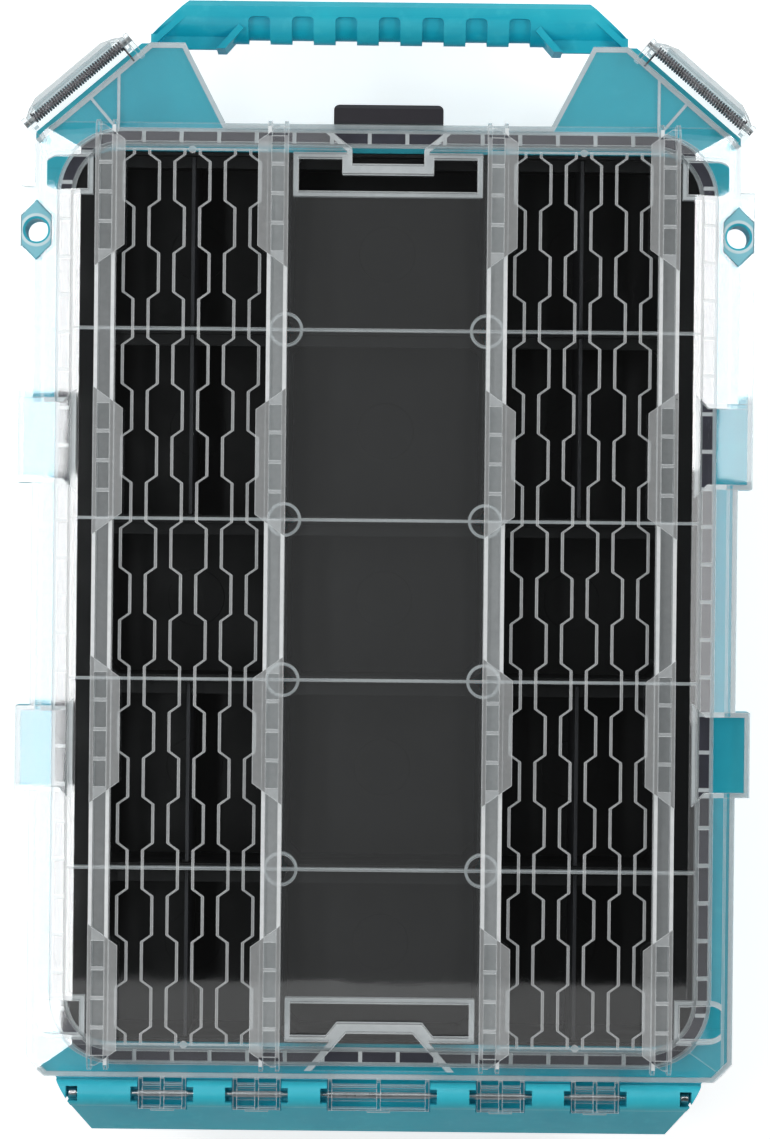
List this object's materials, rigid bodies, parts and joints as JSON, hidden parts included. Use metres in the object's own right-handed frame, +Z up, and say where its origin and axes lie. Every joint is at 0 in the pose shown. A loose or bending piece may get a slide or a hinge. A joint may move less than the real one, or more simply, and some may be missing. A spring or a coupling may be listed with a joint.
{
  "type": "tool organizer",
  "caption": "Flat stackable tool organizer with a clear hinged lid, lift-out bins, sprung corner latches, a stacking button and a carry handle.",
  "frame": {"origin": "on the ground, below the middle of the overall width and length", "axes": "+X across the case, +Y from the hinge to the carry handle, +Z up"},
  "size_m": [0.3812, 0.593, 0.113],
  "materials": {
    "teal_shell": "satin moulded",
    "clear_lid": "clear",
    "clear_lever": "clear",
    "gasket": "matt",
    "pin_steel": "bright",
    "cap_steel": "bright",
    "spring_steel": "dark drawn wire",
    "button_black": "satin",
    "bin_black": "satin",
    "divider_grey": "satin"
  },
  "bodies": {
    "base": {"base_shell": "teal_shell", "carry_handle": "teal_shell", "hinge_pin": "pin_steel", "hinge_pin_caps": "cap_steel", "stack_button_spring": "spring_steel", "rim_front": "teal_shell", "rim_rear": "teal_shell", "rim_left": "teal_shell", "rim_right": "teal_shell", "corner_block_left": "teal_shell", "corner_block_right": "teal_shell", "bin_1_left": "bin_black", "bin_1_centre": "bin_black", "bin_1_right": "bin_black", "bin_2_left": "bin_black", "bin_2_centre": "bin_black", "bin_2_right": "bin_black", "bin_3_left": "bin_black", "bin_3_centre": "bin_black", "bin_3_right": "bin_black", "bin_4_left": "bin_black", "bin_4_centre": "bin_black", "bin_4_right": "bin_black", "bin_5_left": "bin_black", "bin_5_centre": "bin_black", "bin_5_right": "bin_black", "divider_1_left": "divider_grey", "divider_1_right": "divider_grey", "divider_2_left": "divider_grey", "divider_2_right": "divider_grey", "divider_4_left": "divider_grey", "divider_4_right": "divider_grey", "divider_5_left": "divider_grey", "divider_5_right": "divider_grey"},
    "lid": {"lid_shell": "clear_lid", "lid_gasket": "gasket", "latch_pin_left": "pin_steel", "latch_pin_right": "pin_steel", "latch_spring_left": "spring_steel", "latch_spring_right": "spring_steel"},
    "latch_left": {"latch_lever_left": "clear_lever"},
    "latch_right": {"latch_lever_right": "clear_lever"},
    "button": {"stack_button": "button_black"}
  },
  "joints": [
    {"name": "lid_hinge", "type": "hinge", "parent": "base", "child": "lid", "pos_m": [0, -0.2743, 0.0914], "axis": [1, 0, 0], "range_deg": [0, 105]},
    {"name": "latch_left_hinge", "type": "hinge", "parent": "lid", "child": "latch_left", "pos_m": [-0.1612, 0.2495, 0.0954], "axis": [0.7593, 0.6508, 0], "range_deg": [0, 100], "stiffness_Nm_per_rad": 0.05, "springref_deg": -11.46},
    {"name": "latch_right_hinge", "type": "hinge", "parent": "lid", "child": "latch_right", "pos_m": [0.1612, 0.2495, 0.0954], "axis": [0.7593, -0.6508, 0], "range_deg": [0, 100], "stiffness_Nm_per_rad": 0.05, "springref_deg": -11.46},
    {"name": "button_slide", "type": "slide", "parent": "base", "child": "button", "axis": [0, 0, -1], "range_m": [0, 0.005], "stiffness_N_per_m": 400, "springref_m": -0.002, "deforming": ["stack_button_spring"]}
  ]
}
